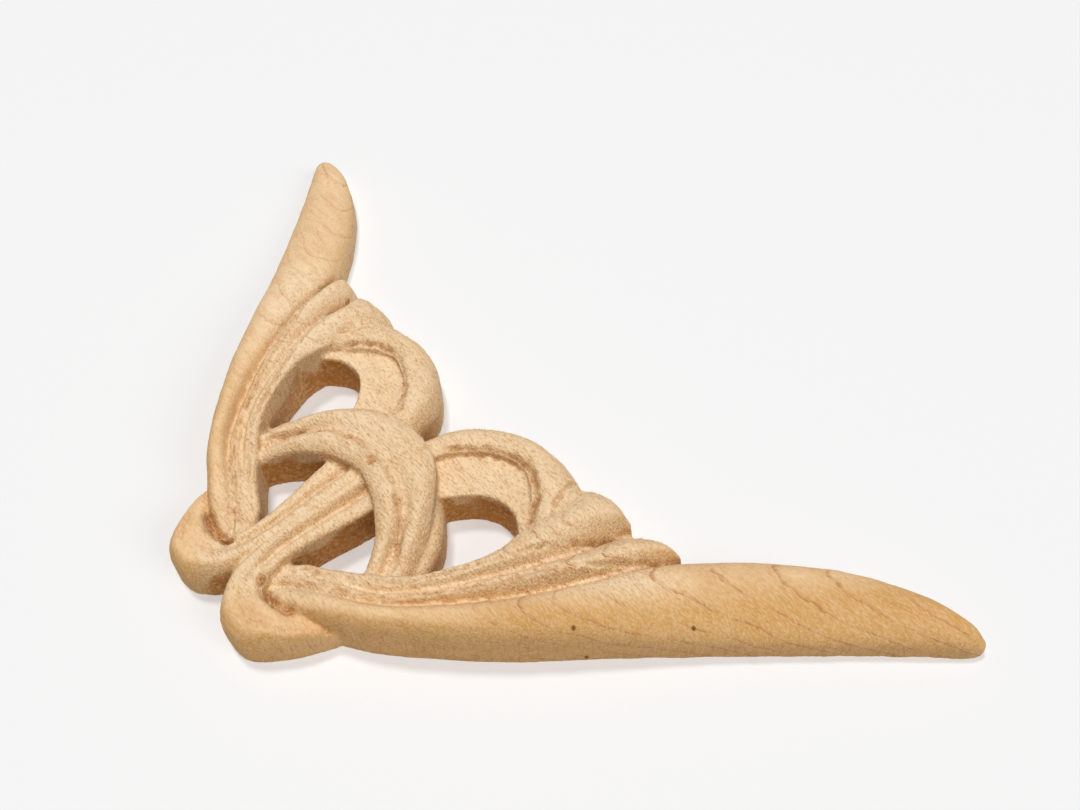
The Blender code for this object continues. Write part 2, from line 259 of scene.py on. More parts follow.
class CarvingSettings(bpy.types.PropertyGroup):
    """Sizes of the fine carved surface."""

    grid: bpy.props.FloatProperty(
        name="Grid",
        description="Size of the small squares that the surface is made of",
        default=0.00035,
        precision=5,
        **LENGTH,
    )
    below_back: bpy.props.FloatProperty(
        name="Below back",
        description="How far the straps run on under the back before they are cut flat",
        default=0.0016,
        precision=5,
        **LENGTH,
    )
    sanding: bpy.props.IntProperty(
        name="Sanding",
        description="Smoothing passes over the joined straps",
        default=2,
        min=0,
    )
    fuzz_height: bpy.props.FloatProperty(
        name="Fuzz height",
        description="Height of the rough grain in the carved hollows",
        default=0.00010,
        precision=5,
        **LENGTH,
    )
    wall_mark_depth: bpy.props.FloatProperty(
        name="Wall mark depth",
        description="Depth of the upright marks that the cutter left on the walls",
        default=0.00007,
        precision=5,
        **LENGTH,
    )
    crease_drift: bpy.props.FloatProperty(
        name="Crease drift",
        description="How far a crease wanders from its line",
        default=0.00035,
        precision=5,
        **LENGTH,
    )
    shelter_reach: bpy.props.FloatProperty(
        name="Shelter reach",
        description="How far a wall still shelters a hollow",
        default=0.012,
        precision=4,
        **LENGTH,
    )


class BeechSettings(bpy.types.PropertyGroup):
    """Colours and grain of the bare beech, with the colours of its painted shade and painted light."""

    face: bpy.props.FloatVectorProperty(
        name="Face",
        description="Colour of the sanded wood",
        **COLOUR,
        default=(0.80, 0.54, 0.295),
    )
    warm: bpy.props.FloatVectorProperty(
        name="Warm patches",
        description="Colour of the broad warmer patches",
        **COLOUR,
        default=(0.68, 0.40, 0.18),
    )
    fleck: bpy.props.FloatVectorProperty(
        name="Flecks",
        description="Colour of the short ray flecks",
        **COLOUR,
        default=(0.40, 0.20, 0.085),
    )
    ring: bpy.props.FloatVectorProperty(
        name="Ring lines",
        description="Colour of the growth ring lines",
        **COLOUR,
        default=(0.46, 0.19, 0.07),
    )
    # Painted shade: this colour darkens the sheltered pits, the sheltered walls that look towards -Y, and
    # the sunk nap.
    hollow_shade: bpy.props.FloatVectorProperty(
        name="Hollows",
        description="Colour of the sheltered wood in the pits and on the walls of the openings",
        **COLOUR,
        default=(0.46, 0.17, 0.015),
    )
    spot: bpy.props.FloatVectorProperty(
        name="Spot",
        description="Colour of the small dark spots",
        **COLOUR,
        default=(0.12, 0.035, 0.01),
    )
    # Painted shade: this colour darkens the creases and the lips beside them.
    crease_shade: bpy.props.FloatVectorProperty(
        name="Scorch",
        description="Colour of the scorched lines in the creases",
        **COLOUR,
        default=(0.46, 0.175, 0.018),
    )
    # Painted light: the nap's pale flecks and the upright walls that look towards +X are painted with this
    # colour; it is also the pale tone of the carved zones, the second leg's blade and the fibres.
    raised: bpy.props.FloatVectorProperty(
        name="Raised nap",
        description="Colour of the fine fibres that catch the light",
        **COLOUR,
        default=(0.90, 0.69, 0.45),
    )
    # Painted shade, partly the wood's warmer tone: slopes and walls turn to this colour the more they look
    # towards -Y, and so do the front and the tip of the first leg's blade.
    wall: bpy.props.FloatVectorProperty(
        name="Walls",
        description="Colour of the cut walls",
        **COLOUR,
        default=(0.57, 0.30, 0.08),
    )
    ring_normal: bpy.props.FloatVectorProperty(
        name="Ring normal",
        description="Direction square to the layers of growth",
        size=3,
        default=(0.358, 0.361, 0.861),
    )
    ring_offset: bpy.props.FloatProperty(
        name="Ring offset",
        description="How far the layers are shifted along their normal",
        default=0.00624,
        precision=5,
        **LENGTH,
    )
    grain_angle: bpy.props.FloatProperty(
        name="Grain angle",
        description="Direction of the grain in the plan, from +X",
        **ANGLE,
        default=math.radians(-48),
    )
    ring_spacing: bpy.props.FloatProperty(
        name="Ring spacing",
        description="Distance between growth rings",
        default=0.0026,
        precision=4,
        **LENGTH,
    )


class FibreSettings(bpy.types.PropertyGroup):
    """Size and number of the fibres that stand up from the carved hollows."""

    density: bpy.props.FloatProperty(
        name="Density",
        description="Fibres for each square metre of the roughest surface",
        default=9000000.0,
        min=0,
    )
    length: bpy.props.FloatProperty(
        name="Length",
        description="Length of an average fibre",
        default=0.0005,
        precision=5,
        **LENGTH,
    )
    radius: bpy.props.FloatProperty(
        name="Radius",
        description="Half the thickness of a fibre at its root",
        default=0.00003,
        precision=6,
        **LENGTH,
    )
    seed: bpy.props.IntProperty(
        name="Seed",
        description="Fixes where the fibres stand",
        default=7,
    )


class StageSettings(bpy.types.PropertyGroup):
    """Camera, floor and lights."""

    lens: bpy.props.FloatProperty(
        name="Lens",
        description="Focal length on a 36 mm wide frame, in millimetres",
        default=28.33,
        min=1,
    )
    eye: bpy.props.FloatVectorProperty(
        name="Eye",
        description="Place of the camera as shares of the leg length from the outer corner",
        size=3,
        default=(0.484, -0.430, 0.983),
    )
    yaw: bpy.props.FloatProperty(
        name="Yaw",
        description="Turn of the view from +Y towards +X",
        **ANGLE,
        default=math.radians(-1.84),
    )
    dip: bpy.props.FloatProperty(
        name="Dip",
        description="How far the view looks down",
        **ANGLE,
        default=math.radians(49.73),
    )
    roll: bpy.props.FloatProperty(
        name="Roll",
        description="Roll of the camera about its view",
        **ANGLE,
        default=math.radians(-0.80),
    )
    floor_colour: bpy.props.FloatVectorProperty(
        name="Floor",
        description="Colour of the plain floor",
        **COLOUR,
        default=(0.83, 0.83, 0.83),
    )
    sky_light: bpy.props.FloatProperty(
        name="Sky light",
        description="Strength of the even light from all round",
        default=0.11,
        min=0,
    )
    backdrop: bpy.props.FloatProperty(
        name="Backdrop",
        description="Brightness of the plain backdrop beyond the floor, as the camera sees it",
        default=0.90,
        min=0,
    )
    overhead_light: bpy.props.FloatProperty(
        name="Overhead light",
        description="Strength of the wide light overhead, in watts on a square metre",
        default=1.80,
        min=0,
    )
    side_light: bpy.props.FloatProperty(
        name="Side light",
        description="Strength of the widest light, at the right, in watts on a square metre",
        default=0.68,
        min=0,
    )
    rear_light: bpy.props.FloatProperty(
        name="Rear light",
        description="Strength of the narrow light behind, in watts on a square metre",
        default=1.03,
        min=0,
    )


def through(rows, steps):
    """A smooth run of stations through the given ones, with steps between each pair."""
    given = np.array(rows, float)
    ends = np.vstack([2 * given[0] - given[1], given, 2 * given[-1] - given[-2]])
    run = []
    for before, start, stop, after in zip(ends, ends[1:], ends[2:], ends[3:]):
        for t in np.arange(steps) / steps:
            slope = (stop - before) * t
            bend = (2 * before - 5 * start + 4 * stop - after) * t * t
            twist = (3 * start - before - 3 * stop + after) * t**3
            run.append(start + 0.5 * (slope + bend + twist))
    run.append(given[-1])
    return run


def ribbon_halves():
    """The ribbon's rows in two: the ridge along its outer edge, and the lip along its inner edge."""
    ridge, lip = [], []
    last = len(RIBBON) - 1
    for i, row in enumerate(np.array(RIBBON)):
        left, right, crest = row[0:3], row[3:6], row[6]
        round_knob = min(1.0, KNOB_RATE * i / last)
        share = 1 - (LIP_SHARE[0] + (LIP_SHARE[1] - LIP_SHARE[0]) * round_knob)
        depth = VALLEY_DEPTH[0] + (VALLEY_DEPTH[1] - VALLEY_DEPTH[0]) * round_knob
        valley = left + (right - left) * share
        valley[2] = crest - depth * min(1.0, VALLEY_FADE * (last - i) / last)
        ridge.append((*left, *valley, crest))
        lip.append((*valley, *right, crest - LIP_DROP * depth))
    return ridge, lip


def side(crest, edge, kind, under):
    """Points from the crest out to one edge: a round shoulder or a crisp edge over a wall, or a slope
    that runs on down into the next strap and leaves a groove."""
    if kind == "round":
        shares = np.sin(np.linspace(FIRST_POINT, 1.0, SIDE_POINTS) * math.pi / 2)
    else:
        shares = np.linspace(FIRST_POINT, 1.0 if kind == "crisp" else GROOVE_OVERLAP, SIDE_POINTS)
    points = []
    for share in shares:
        fall = 1 - math.sqrt(max(0.0, 1 - share * share)) if kind == "round" else share**SLOPE_POWER
        point = crest + (edge - crest) * share
        point[2] = crest[2] + (edge[2] - crest[2]) * fall
        points.append(point)
    foot = points[-1].copy()
    foot[2] = under
    return points + [foot]


def add_strap(shape, rows, kinds, under, lean=CENTRE_LEAN, steps=7, both=False, mirror=False):
    """Adds a closed loft along the stations to the bmesh, on the second leg if mirror is set. lean
    places the crest between the left edge (0) and the right (1), at the first station and the last."""
    if both:
        rows = [(r[1], r[0], r[2], r[4], r[3], r[5], r[6]) for r in rows[:0:-1]] + list(rows)
    rings = []
    run = through(rows, steps)
    for i, row in enumerate(run):
        left, right = row[0:3], row[3:6]
        crest = left + (right - left) * (lean[0] + (lean[1] - lean[0]) * (i / (len(run) - 1)) ** 2)
        crest[2] = row[6]
        section = side(crest, left, kinds[0], under)[::-1] + [crest]
        section += side(crest, right, kinds[1], under)
        ring = []
        for x, y, height in section:
            if mirror:
                x, y = y, x
            place = ((x - CENTRE_SHARE) * LEG_LENGTH, (y - CENTRE_SHARE) * LEG_LENGTH)
            ring.append(shape.verts.new((*place, height * RELIEF_HEIGHT)))
        rings.append(ring)
    faces = []
    count = len(rings[0])
    for near, far in zip(rings, rings[1:]):
        for i in range(count):
            j = (i + 1) % count
            faces.append(shape.faces.new((near[i], near[j], far[j], far[i])))
    faces.append(shape.faces.new(rings[0][::-1]))
    faces.append(shape.faces.new(rings[-1]))
    bmesh.ops.recalc_face_normals(shape, faces=faces)


def joined_straps(sizes):
    """All the straps in one mesh, as closed bodies that overlap."""
    under = -sizes.below_back / RELIEF_HEIGHT
    shape = bmesh.new()
    ridge, lip = ribbon_halves()
    for mirror in (False, True):
        for rows, kinds, lean in (
            (BLADE, ("round", "round"), BLADE_LEAN),
            (FIRST_LEAF, ("groove", "groove"), LEAF_LEAN),
            (SECOND_LEAF, ("crisp", "groove"), LEAF_LEAN),
            (ARCH_RIM, ("round", "crisp"), RIM_LEAN),
            (ARCH_FLOOR, ("crisp", "crisp"), CENTRE_LEAN),
            (ridge, ("round", "groove"), CENTRE_LEAN),
            (lip, ("groove", "crisp"), CENTRE_LEAN),
            (MIDDLE_FLANK, ("round", "round"), CENTRE_LEAN),
        ):
            add_strap(shape, rows, kinds, under, lean, mirror=mirror)
    add_strap(shape, MIDDLE_RIB, ("crisp", "groove"), under, both=True)
    add_strap(shape, MIDDLE_BAND, ("groove", "crisp"), under, both=True)
    mesh = bpy.data.meshes.new("joined_straps")
    shape.to_mesh(mesh)
    shape.free()
    return mesh


def evaluated_copy(obj, name):
    """The object's mesh with its modifiers applied, as a new mesh."""
    bpy.context.view_layer.update()
    graph = bpy.context.evaluated_depsgraph_get()
    mesh = bpy.data.meshes.new_from_object(obj.evaluated_get(graph))
    mesh.name = name
    return mesh


def neighbour_mean(values, edges, degree):
    """Each vertex's mean of its neighbours' values."""
    total = np.zeros_like(values)
    for axis in range(values.shape[1]):
        total[:, axis] = np.bincount(edges[:, 0], values[edges[:, 1], axis], len(values))
        total[:, axis] += np.bincount(edges[:, 1], values[edges[:, 0], axis], len(values))
    return total / degree[:, None]


def mesh_arrays(mesh):
    """Places, normals, edges and neighbour counts of a mesh as arrays."""
    places = np.empty(len(mesh.vertices) * 3)
    mesh.vertices.foreach_get("co", places)
    normals = np.empty(len(mesh.vertices) * 3)
    mesh.vertices.foreach_get("normal", normals)
    edges = np.empty(len(mesh.edges) * 2, np.int64)
    mesh.edges.foreach_get("vertices", edges)
    edges = edges.reshape(-1, 2)
    degree = np.bincount(edges.ravel(), minlength=len(mesh.vertices)).clip(1)
    return places.reshape(-1, 3), normals.reshape(-1, 3), edges, degree


def shelter(places, normals, edges, degree, tree, reach):
    """How far the surroundings close in on each point, from 0 in the open to 1 deep in a pit."""
    directions = []
    for turn in np.arange(SHELTER_TURNS) * math.pi / (SHELTER_TURNS / 2):
        for flat, rise, shift in SHELTER_RAYS:
            angle = turn + shift
            directions.append(Vector((flat * math.cos(angle), flat * math.sin(angle), rise)))
    closed = np.zeros((len(places), 1))
    for i, (place, normal) in enumerate(zip(places, normals)):
        start = Vector(place + RAY_START * normal)
        facing = Vector(normal)
        for direction in directions:
            if direction.dot(facing) <= RAY_LIFT:
                closed[i] += INTO_WOOD_SHARE
            elif tree.ray_cast(start, direction, reach)[0] is not None:
                closed[i] += 1
    closed /= len(directions)
    for _ in range(SHELTER_SMOOTHING):
        closed = neighbour_mean(closed, edges, degree)
    return closed[:, 0]


def creases_at(plan):
    """How deep the creases cut at each plan place, as a share of the relief height, and how dark they
    are there."""
    deepest, darkest = np.zeros(len(plan)), np.zeros(len(plan))
    for depth, half_width, dark, path in CREASES:
        reach = half_width * RELIEF_HEIGHT / LEG_LENGTH
        points = np.array(path)
        for near, far in zip(points, points[1:]):
            along = far - near
            for places in (plan, plan[:, ::-1]):
                share = np.clip((places - near) @ along / (along @ along), 0, 1)
                gap = np.linalg.norm(places - near - share[:, None] * along, axis=1)
                nearness = np.exp(-((gap / reach) ** 2))
                deepest = np.maximum(deepest, depth * nearness)
                darkest = np.maximum(darkest, dark * nearness)
    return deepest, darkest


def unevenness(places, fineness, offset):
    """A noise value from -1 to 1 at each place."""
    return np.array([noise.noise(Vector(place) * fineness + Vector(offset)) for place in places])


def rises(values, start, length):
    """A share that is 0 up to a start and grows to 1 over a length."""
    return np.clip((values - start) / length, 0, 1)


def falls(values, end, length):
    """A share that shrinks from 1 to 0 over a length and is 0 from an end on."""
    return np.clip((end - values) / length, 0, 1)


def plan_of(places):
    """Plan places as shares of the leg length from the outer corner."""
    return places[:, :2] / LEG_LENGTH + CENTRE_SHARE


def cut_creases(mesh, sizes):
    """Cuts the creases into the mesh. Gives back how dark they are at each vertex."""
    places, normals = mesh_arrays(mesh)[:2]
    sideways = unevenness(places, DRIFT_FINENESS, (5, 0, 0)), unevenness(places, DRIFT_FINENESS, (0, 9, 0))
    drift = np.stack(sideways, axis=1)
    cut, crease = creases_at(plan_of(places) + drift * sizes.crease_drift / LEG_LENGTH)
    broken = np.clip(0.85 + 1.2 * unevenness(places, BREAK_FINENESS, (3, 3, 0)), 0.3, 1.4)
    broken *= rises(normals[:, 2], *CREASED_SLOPE)
    places[:, 2] -= cut * broken * RELIEF_HEIGHT
    mesh.vertices.foreach_set("co", places.ravel())
    mesh.update()
    return np.clip(crease * broken, 0, 1)


def zones(places, normals, closed, crease):
    """How far each vertex lies in each zone of the wood, from 0 to 1, under the attribute's name."""
    plan = plan_of(places)
    x, y = plan.T
    along, across = plan.max(axis=1), plan.min(axis=1)
    second_leg = y > x
    level = np.abs(normals[:, 2])
    # Painted shade and painted light: sheltered walls, and slopes and walls in their warmer tone, are
    # painted browner the more they look towards -Y, and upright walls that look towards +X are painted
    # paler. This follows the photograph and is fixed on the surface.
    upright = falls(level, *UPRIGHT_SLOPE)
    inner = upright * rises(closed, *INNER_CLOSED) * np.clip(0.35 - normals[:, 1], 0.15, 1)
    inner *= rises(across, *INNER_WIDTH)
    # Painted shade: the pits and the sheltered walls are darkened by how closed in each point is.
    hollow_shade = np.maximum(rises(closed, *PIT_CLOSED), inner)
    blade = rises(along, *BLADE_REACH) * falls(across, *BLADE_WIDTH)
    carved = falls(along, *CARVED_REACH) * rises(across, *CARVED_WIDTH)
    front = falls(y, FRONT_LINE + FRONT_RISE * (x - 0.5), FRONT_FADE) * rises(x, *FRONT_REACH)
    # Painted shade, partly the wood's warmer tone, on slopes and walls that look towards -Y and on the front
    # and tip of the first leg's blade.
    tan_and_shade = falls(level, *TANNED_SLOPE) * np.clip(0.6 - 0.9 * normals[:, 1], 0.15, 1)
    tan_and_shade = np.maximum(tan_and_shade, np.maximum(front, rises(x, *TIP_REACH)))
    # The second leg's blade is paler than the first one's.
    lit_and_pale = np.clip(0.65 * carved + 0.4 * blade * second_leg, 0, 1) * (1 - 0.6 * tan_and_shade) * (1 - hollow_shade)
    return {
        "hollow_shade": hollow_shade,
        "crease": crease,
        "rough": np.clip(0.22 + 0.5 * carved + 0.9 * crease + 0.5 * hollow_shade, 0, 1),
        "upright": upright,
        "fuzzy": np.clip(0.3 * carved + crease, 0, 1) * rises(normals[:, 2], *FUZZY_SLOPE),
        "ringed": blade * np.where(second_leg, SECOND_LEG_RINGS, 1),
        "tan_and_shade": tan_and_shade,
        # Painted light: upright walls that look towards +X are made paler; the carved zones and the second
        # leg's blade have a paler tone.
        "lit_and_pale": np.maximum(lit_and_pale, 0.5 * upright * np.clip(normals[:, 0], 0, 1)),
    }


def lift_grain(places, normals, zone, sizes, grain_angle):
    """The places moved out or in by the raised grain, the wall marks and a low wave."""
    lift = np.empty(len(places))
    cosine, sine = math.cos(grain_angle), math.sin(grain_angle)
    for i, (x, y, z) in enumerate(places):
        with_grain, over_grain = x * cosine + y * sine, y * cosine - x * sine
        long, short = FUZZ_FINENESS
        fuzz = noise.noise((with_grain * long, over_grain * short, z * short))
        long, short = COARSE_FINENESS
        fuzz += COARSE_SHARE * noise.noise((with_grain * long + 31, over_grain * short, z * short))
        around, upwards = MARK_FINENESS
        marks = noise.noise((x * around, y * around, z * upwards + 7))
        wave = noise.noise((x * WAVE_FINENESS, y * WAVE_FINENESS, z * WAVE_FINENESS + 17))
        lift[i] = sizes.fuzz_height * zone["rough"][i] * fuzz
        lift[i] += sizes.wall_mark_depth * marks * zone["upright"][i]
        lift[i] += WAVE_HEIGHT * wave
    return places + normals * lift[:, None]


def roughen(mesh, sizes, grain_angle):
    """Cuts the creases, raises the grain, marks the walls, and stores the zones as attributes."""
    crease = cut_creases(mesh, sizes)
    places, normals, edges, degree = mesh_arrays(mesh)
    faces = [tuple(face.vertices) for face in mesh.polygons]
    tree = BVHTree.FromPolygons([tuple(place) for place in places], faces)
    closed = shelter(places, normals, edges, degree, tree, sizes.shelter_reach)
    zone = zones(places, normals, closed, crease)
    places = lift_grain(places, normals, zone, sizes, grain_angle)
    inside = np.clip(places, (LOW[0], LOW[1], places[:, 2].min()), HIGH)
    mesh.vertices.foreach_set("co", inside.ravel())
    mesh.update()
    for name, values in zone.items():
        layer = mesh.attributes.new(name, "FLOAT", "POINT")
        layer.data.foreach_set("value", values.astype(np.float32))


def cut_flat_back(mesh):
    """Cuts the mesh at the back plane and closes it there."""
    shape = bmesh.new()
    shape.from_mesh(mesh)
    geometry = shape.verts[:] + shape.edges[:] + shape.faces[:]
    bmesh.ops.bisect_plane(
        shape, geom=geometry, dist=1e-7, plane_co=(0, 0, 0), plane_no=(0, 0, -1), clear_outer=True
    )
    rim = [edge for edge in shape.edges if edge.is_boundary]
    bmesh.ops.triangle_fill(shape, edges=rim, use_beauty=True, normal=(0, 0, -1))
    bmesh.ops.recalc_face_normals(shape, faces=shape.faces[:])
    for face in shape.faces:
        face.smooth = abs(face.normal.z + 1) > 1e-3
    shape.to_mesh(mesh)
    shape.free()


def colour_mix(tree, share, first, second, name):
    """A node that mixes two colours; share is a socket, first and second are sockets or colours."""
    mix = tree.nodes.new("ShaderNodeMix")
    mix.data_type = "RGBA"
    mix.label = name
    tree.links.new(share, mix.inputs["Factor"])
    for socket, value in ((mix.inputs[6], first), (mix.inputs[7], second)):
        if isinstance(value, bpy.types.NodeSocket):
            tree.links.new(value, socket)
        else:
            socket.default_value = (*value, 1)
    return mix.outputs[2]


def sums(tree, operation, first, second):
    """A math node on two values, each a socket or a number."""
    node = tree.nodes.new("ShaderNodeMath")
    node.operation = operation
    for socket, value in zip(node.inputs, (first, second)):
        if isinstance(value, bpy.types.NodeSocket):
            tree.links.new(value, socket)
        elif value is not None:
            socket.default_value = value
    return node.outputs[0]


def remap(tree, value, low, high, to_low=0.0, to_high=1.0):
    """A value run from one range to another, held within it."""
    node = tree.nodes.new("ShaderNodeMapRange")
    node.interpolation_type = "SMOOTHSTEP"
    tree.links.new(value, node.inputs["Value"])
    for name, number in (("From Min", low), ("From Max", high), ("To Min", to_low), ("To Max", to_high)):
        node.inputs[name].default_value = number
    return node.outputs["Result"]


def grain_coordinates(tree, beech, scale):
    """Object coordinates turned so that X follows the grain, times a scale along and across it."""
    place = tree.nodes.new("ShaderNodeTexCoord")
    turn = tree.nodes.new("ShaderNodeMapping")
    turn.vector_type = "TEXTURE"
    turn.inputs["Rotation"].default_value = (0, 0, beech.grain_angle)
    tree.links.new(place.outputs["Object"], turn.inputs["Vector"])
    return stretched(tree, turn.outputs["Vector"], scale)


def noise_value(tree, vector, scale, detail):
    """A noise texture's value."""
    node = tree.nodes.new("ShaderNodeTexNoise")
    node.inputs["Scale"].default_value = scale
    node.inputs["Detail"].default_value = detail
    tree.links.new(vector, node.inputs["Vector"])
    return node.outputs["Fac"]


def attribute(tree, name):
    """A vertex attribute's value."""
    node = tree.nodes.new("ShaderNodeAttribute")
    node.attribute_name = name
    return node.outputs["Fac"]


def ring_lines(tree, beech):
    """Thin lines where the growth rings, nearly flat layers here, meet the surface, and how far each
    point lies from one line to the next."""
    place = tree.nodes.new("ShaderNodeTexCoord").outputs["Object"]
    across = tree.nodes.new("ShaderNodeVectorMath")
    across.operation = "DOT_PRODUCT"
    across.inputs[1].default_value = beech.ring_normal
    tree.links.new(place, across.inputs[0])
    sway = noise_value(tree, place, 60.0, 1.0)
    wander = noise_value(tree, place, 420.0, 3.0)
    shifted = sums(tree, "ADD", across.outputs["Value"], beech.ring_offset)
    shifted = sums(tree, "ADD", shifted, sums(tree, "MULTIPLY", sums(tree, "SUBTRACT", sway, 0.5), 0.003))
    shifted = sums(tree, "ADD", shifted, sums(tree, "MULTIPLY", sums(tree, "SUBTRACT", wander, 0.5), 0.0009))
    phase = sums(tree, "FRACT", sums(tree, "DIVIDE", shifted, beech.ring_spacing), None)
    return remap(tree, phase, 0.0, 0.15, 1.0, 0.0), phase


def product(tree, *values):
    """The product of sockets and numbers."""
    result = values[0]
    for value in values[1:]:
        result = sums(tree, "MULTIPLY", result, value)
    return result


def stretched(tree, vector, scale):
    """A vector times a scale along each axis."""
    node = tree.nodes.new("ShaderNodeVectorMath")
    node.operation = "MULTIPLY"
    node.inputs[1].default_value = scale
    tree.links.new(vector, node.inputs[0])
    return node.outputs["Vector"]


def spot_share(tree, spot):
    """1 within a small spot at a place given in leg lengths, fading to 0 round it."""
    x, y, z = spot
    reach = tree.nodes.new("ShaderNodeVectorMath")
    reach.operation = "DISTANCE"
    centre = Vector((x - CENTRE_SHARE, y - CENTRE_SHARE, SPOT_HEIGHT_SHARE * z))
    reach.inputs[1].default_value = centre * LEG_LENGTH
    place = tree.nodes.new("ShaderNodeTexCoord").outputs["Object"]
    tree.links.new(stretched(tree, place, (1, 1, SPOT_HEIGHT_SHARE)), reach.inputs[0])
    return product(tree, remap(tree, reach.outputs["Value"], *SPOT_RADII, 1.0, 0.0), SPOT_STRENGTH)


def beech_material(beech):
    """Bare beech: warm patches, ring lines, ray flecks, a nap of fine grain, and painted shade and painted
    light.
    """
    material = bpy.data.materials.new("bare_beech")
    material.use_nodes = True
    tree = material.node_tree
    shader = tree.nodes["Principled BSDF"]
    plain_grain = grain_coordinates(tree, beech, (1, 1, 1))
    rough, hollow_shade = attribute(tree, "rough"), attribute(tree, "hollow_shade")
    crease, upright = attribute(tree, "crease"), attribute(tree, "upright")
    ringed, tan_and_shade = attribute(tree, "ringed"), attribute(tree, "tan_and_shade")
    lit_and_pale = attribute(tree, "lit_and_pale")

    patches = remap(tree, noise_value(tree, plain_grain, 75.0, 5.0), 0.40, 0.62)
    colour = colour_mix(tree, product(tree, patches, 0.75), tuple(beech.face), tuple(beech.warm), "patches")
    lines, phase = ring_lines(tree, beech)
    late = product(tree, remap(tree, phase, 0.35, 1.0), ringed, 0.35)
    colour = colour_mix(tree, late, colour, tuple(beech.warm), "late wood")
    # Painted shade, partly a warmer tone, on slopes and walls that look towards -Y and on the first blade's
    # front and tip.
    colour = colour_mix(tree, product(tree, tan_and_shade, 0.85), colour, tuple(beech.wall), "walls")
    # Painted light on upright walls that look towards +X, and a paler tone on the carved zones and the
    # second leg's blade.
    colour = colour_mix(tree, lit_and_pale, colour, tuple(beech.raised), "pale zones")
    breaks = remap(tree, noise_value(tree, plain_grain, 150.0, 3.0), 0.36, 0.54)
    seen = sums(tree, "ADD", product(tree, ringed, 0.8), 0.2)
    ring_share = product(tree, lines, breaks, seen)
    colour = colour_mix(tree, ring_share, colour, tuple(beech.ring), "ring lines")
    streak = noise_value(tree, stretched(tree, plain_grain, (2400, 2400, 260)), 1.0, 3.0)
    streak = remap(tree, streak, 0.48, 0.68)
    colour = colour_mix(tree, product(tree, streak, upright, 0.5), colour, tuple(beech.fleck), "streaks")
    bands = noise_value(tree, stretched(tree, plain_grain, (110, 800, 800)), 1.0, 3.0)
    bands = product(tree, remap(tree, bands, 0.44, 0.62), 0.4)
    colour = colour_mix(tree, bands, colour, tuple(beech.warm), "bands")
    nap = noise_value(tree, grain_coordinates(tree, beech, (1150, 3900, 3900)), 1.0, 4.0)
    # The nap's pale flecks, on the raised parts of its bump, are a painted highlight; its dark flecks, in
    # the sunk parts, are painted shade.
    pale = product(tree, remap(tree, nap, 0.42, 0.70), remap(tree, rough, 0.2, 0.9, 0.30, 0.85))
    colour = colour_mix(tree, pale, colour, tuple(beech.raised), "raised nap")
    sunk = product(tree, remap(tree, nap, 0.47, 0.28), remap(tree, rough, 0.1, 0.9, 0.18, 0.58))
    colour = colour_mix(tree, sunk, colour, tuple(beech.hollow_shade), "sunk nap")
    flecks = noise_value(tree, grain_coordinates(tree, beech, (800, 4600, 4600)), 1.0, 1.0)
    flecks = remap(tree, flecks, 0.62, 0.72)
    fleck_share = remap(tree, upright, 0.0, 1.0, 0.34, 0.62)
    colour = colour_mix(tree, product(tree, flecks, fleck_share), colour, tuple(beech.fleck), "flecks")
    patchy = remap(tree, noise_value(tree, plain_grain, 1500.0, 3.0), 0.30, 0.62, 0.35, 1.0)
    # Painted shade in the sheltered hollows and on the sheltered walls.
    colour = colour_mix(tree, product(tree, hollow_shade, patchy, 0.9), colour, tuple(beech.hollow_shade), "hollows")
    # Painted shade in the creases.
    colour = colour_mix(tree, product(tree, crease, patchy, 0.9), colour, tuple(beech.crease_shade), "crease_shade")
    for spot in SPOTS:
        colour = colour_mix(tree, spot_share(tree, spot), colour, tuple(beech.spot), "spot")
    tree.links.new(colour, shader.inputs["Base Color"])
    shader.inputs["Roughness"].default_value = 0.8
    shader.inputs["Specular IOR Level"].default_value = 0.2

    height = sums(tree, "SUBTRACT", nap, product(tree, flecks, 0.25))
    bump = tree.nodes.new("ShaderNodeBump")
    bump.inputs["Distance"].default_value = 0.0004
    tree.links.new(remap(tree, rough, 0.2, 0.9, 0.22, 0.75), bump.inputs["Strength"])
    tree.links.new(height, bump.inputs["Height"])
    tree.links.new(bump.outputs["Normal"], shader.inputs["Normal"])
    return material


class APPLIQUE_OT_carve(bpy.types.Operator):
    """Carves the fine surface of the applique over its solid"""

    bl_idname = "applique.carve"
    bl_label = "Carve applique"

    def execute(self, context):
        scene = context.scene
        sizes = scene.applique_carving
        rough_out = bpy.data.objects.new("rough_out", joined_straps(sizes))
        scene.collection.objects.link(rough_out)
        join = rough_out.modifiers.new("join", "REMESH")
        join.mode = "VOXEL"
        join.voxel_size = sizes.grid
        sand = rough_out.modifiers.new("sand", "SMOOTH")
        sand.factor = 0.4
        sand.iterations = sizes.sanding
        mesh = evaluated_copy(rough_out, "carved_beech")
        bpy.data.objects.remove(rough_out)
        roughen(mesh, sizes, scene.applique_beech.grain_angle)
        cut_flat_back(mesh)
        mesh.materials.clear()
        mesh.materials.append(beech_material(scene.applique_beech))
        carving = bpy.data.objects.new("carved_beech", mesh)
        scene.collection.objects.link(carving)
        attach(carving, "root")
        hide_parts(NODE)
        return {"FINISHED"}


